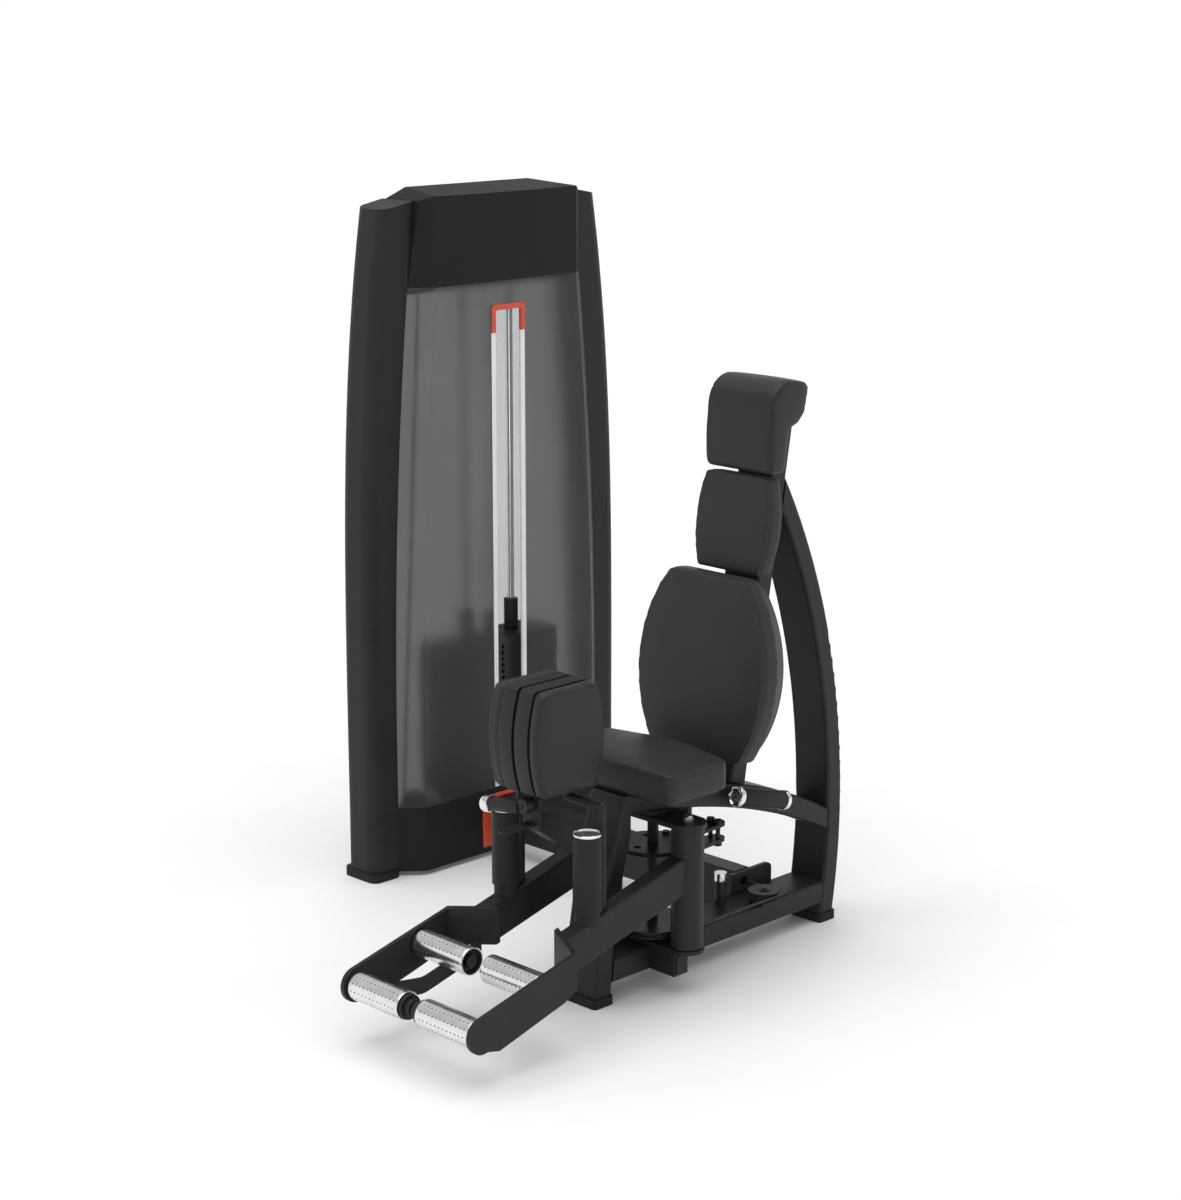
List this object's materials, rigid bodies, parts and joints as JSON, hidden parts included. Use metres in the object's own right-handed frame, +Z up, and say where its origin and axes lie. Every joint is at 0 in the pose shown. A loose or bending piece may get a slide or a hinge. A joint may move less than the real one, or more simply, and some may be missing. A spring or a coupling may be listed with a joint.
{
  "type": "hip abductor machine",
  "caption": "Seated hip abduction and adduction machine: padded seat and leaning backrest, two swinging leg arms with foot rollers, cable drive to a shielded weight tower.",
  "frame": {"origin": "middle of the bounding box on the floor", "axes": "+Z up, -Y the way the seated user faces, +X the seated user's left, the weight tower at -X"},
  "size_m": [1.173, 1.4884, 1.6315],
  "materials": {
    "frame_paint": "satin powder coat",
    "tower_paint": "matte powder coat",
    "header_shell": "matte",
    "smoked_shield": "smoked, translucent",
    "trim_orange": "satin",
    "upholstery": "fine grain vinyl",
    "pad_shell": "moulded",
    "grip_rubber": "matte",
    "foot_rubber": "matte",
    "chrome_part": "polished",
    "steel_part": "turned",
    "weight_plate": "black painted",
    "pulley_plastic": "machined nylon",
    "cable_cover": "smooth"
  },
  "bodies": {
    "frame": {"base_beam": "frame_paint", "front_post": "frame_paint", "rear_upright": "frame_paint", "seat_tube": "frame_paint", "backrest_post": "frame_paint", "pivot_cross_tube": "frame_paint", "pivot_plates": "frame_paint", "pivot_pins": "steel_part", "stop_bracket": "frame_paint", "lever_bracket": "frame_paint", "cable_channel": "frame_paint", "rubber_feet": "foot_rubber", "pad_boards": "pad_shell", "seat_cushion": "upholstery", "back_cushion": "upholstery", "middle_cushion": "upholstery", "head_cushion": "upholstery", "seat_grip_bars": "frame_paint", "seat_grip_sleeves": "grip_rubber", "seat_grip_caps": "chrome_part", "tower_front_column": "tower_paint", "tower_rear_column": "tower_paint", "tower_header": "header_shell", "tower_kick_panel": "header_shell", "tower_shield": "smoked_shield", "tower_back_panel": "tower_paint", "slot_trim": "trim_orange", "stack_frame": "tower_paint", "guide_rods": "chrome_part", "resting_plates": "weight_plate", "drive_cable": "cable_cover"},
    "left_arm": {"left_pivot_tube": "frame_paint", "left_arm_tube": "frame_paint", "left_foot_bracket": "frame_paint", "left_axles": "steel_part", "left_grip": "grip_rubber", "left_pad_bracket": "frame_paint", "left_thigh_cushion": "upholstery"},
    "left_front_roller": {"left_front_roller": "chrome_part"},
    "left_rear_roller": {"left_rear_roller": "chrome_part"},
    "right_arm": {"right_pivot_tube": "frame_paint", "right_arm_tube": "frame_paint", "right_foot_bracket": "frame_paint", "right_axles": "steel_part", "right_grip": "grip_rubber", "right_pad_bracket": "frame_paint", "right_thigh_cushion": "upholstery"},
    "right_front_roller": {"right_front_roller": "chrome_part"},
    "right_rear_roller": {"right_rear_roller": "chrome_part"},
    "stack": {"lifted_plates": "weight_plate", "lifting_strand": "cable_cover"},
    "selector": {"selector_pin": "chrome_part"},
    "crank": {"crank_disc": "frame_paint"},
    "top_pulley": {"top_pulley": "pulley_plastic"},
    "side_pulley": {"side_pulley": "pulley_plastic"},
    "low_pulley": {"low_pulley": "pulley_plastic"},
    "turn_pulley": {"turn_pulley": "pulley_plastic"},
    "beam_pulley": {"beam_pulley": "pulley_plastic"},
    "lever": {"range_lever": "grip_rubber"},
    "pull": {"pull_pin": "chrome_part"}
  },
  "joints": [
    {"name": "stack_lift", "type": "slide", "parent": "frame", "child": "stack", "axis": [0, 0, 1], "range_m": [0, 0.14], "deforming": ["lifting_strand"]},
    {"name": "left_arm_swing", "type": "hinge", "parent": "frame", "child": "left_arm", "pos_m": [0.5135, -0.05375, 0.24], "axis": [0, 0, 1], "range_deg": [0, 50.5]},
    {"name": "left_front_roller_spin", "type": "hinge", "parent": "left_arm", "child": "left_front_roller", "pos_m": [0.497, -0.70875, 0.118], "axis": [1, 0, 0], "continuous": true},
    {"name": "left_rear_roller_spin", "type": "hinge", "parent": "left_arm", "child": "left_rear_roller", "pos_m": [0.497, -0.53475, 0.163], "axis": [1, 0, 0], "continuous": true},
    {"name": "right_arm_swing", "type": "hinge", "parent": "frame", "child": "right_arm", "pos_m": [0.2735, -0.05375, 0.24], "axis": [0, 0, 1], "range_deg": [-50.5, 0]},
    {"name": "right_front_roller_spin", "type": "hinge", "parent": "right_arm", "child": "right_front_roller", "pos_m": [0.29, -0.70875, 0.118], "axis": [1, 0, 0], "continuous": true},
    {"name": "right_rear_roller_spin", "type": "hinge", "parent": "right_arm", "child": "right_rear_roller", "pos_m": [0.29, -0.53475, 0.163], "axis": [1, 0, 0], "continuous": true},
    {"name": "selector_pull", "type": "slide", "parent": "stack", "child": "selector", "axis": [1, 0, 0], "range_m": [0, 0.055]},
    {"name": "crank_turn", "type": "hinge", "parent": "frame", "child": "crank", "pos_m": [0.3935, -0.03375, 0.24], "axis": [0, 0, 1], "range_deg": [-101, 0]},
    {"name": "top_pulley_turn", "type": "hinge", "parent": "frame", "child": "top_pulley", "pos_m": [-0.5115, 0.29575, 1.5], "axis": [1, 0, 0], "range_deg": [0, 252]},
    {"name": "side_pulley_turn", "type": "hinge", "parent": "frame", "child": "side_pulley", "pos_m": [-0.5115, 0.15325, 1.5], "axis": [1, 0, 0], "range_deg": [0, 252]},
    {"name": "low_pulley_turn", "type": "hinge", "parent": "frame", "child": "low_pulley", "pos_m": [-0.5115, 0.07625, 0.152], "axis": [1, 0, 0], "range_deg": [0, 252]},
    {"name": "turn_pulley_turn", "type": "hinge", "parent": "frame", "child": "turn_pulley", "pos_m": [-0.4795, 0.27625, 0.12], "axis": [0, 0, 1], "range_deg": [-252, 0]},
    {"name": "beam_pulley_turn", "type": "hinge", "parent": "frame", "child": "beam_pulley", "pos_m": [0.4415, 0.27625, 0.12], "axis": [0, 0, 1], "range_deg": [-252, 0]},
    {"name": "range_lever_turn", "type": "hinge", "parent": "frame", "child": "lever", "pos_m": [0.3935, -0.40775, 0.472], "axis": [0, 1, 0], "range_deg": [-25, 0]},
    {"name": "pull_pin_lift", "type": "slide", "parent": "frame", "child": "pull", "axis": [0, 0, 1], "range_m": [0, 0.01], "stiffness_N_per_m": 300}
  ],
  "couplings": [
    {"joint": "left_arm_swing", "follows": "stack_lift", "rad_per_m": 6.2333},
    {"joint": "right_arm_swing", "follows": "stack_lift", "rad_per_m": -6.2333},
    {"joint": "crank_turn", "follows": "stack_lift", "rad_per_m": -12.5},
    {"joint": "top_pulley_turn", "follows": "stack_lift", "rad_per_m": 31.25},
    {"joint": "side_pulley_turn", "follows": "stack_lift", "rad_per_m": 31.25},
    {"joint": "low_pulley_turn", "follows": "stack_lift", "rad_per_m": 31.25},
    {"joint": "turn_pulley_turn", "follows": "stack_lift", "rad_per_m": -31.25},
    {"joint": "beam_pulley_turn", "follows": "stack_lift", "rad_per_m": -31.25}
  ]
}
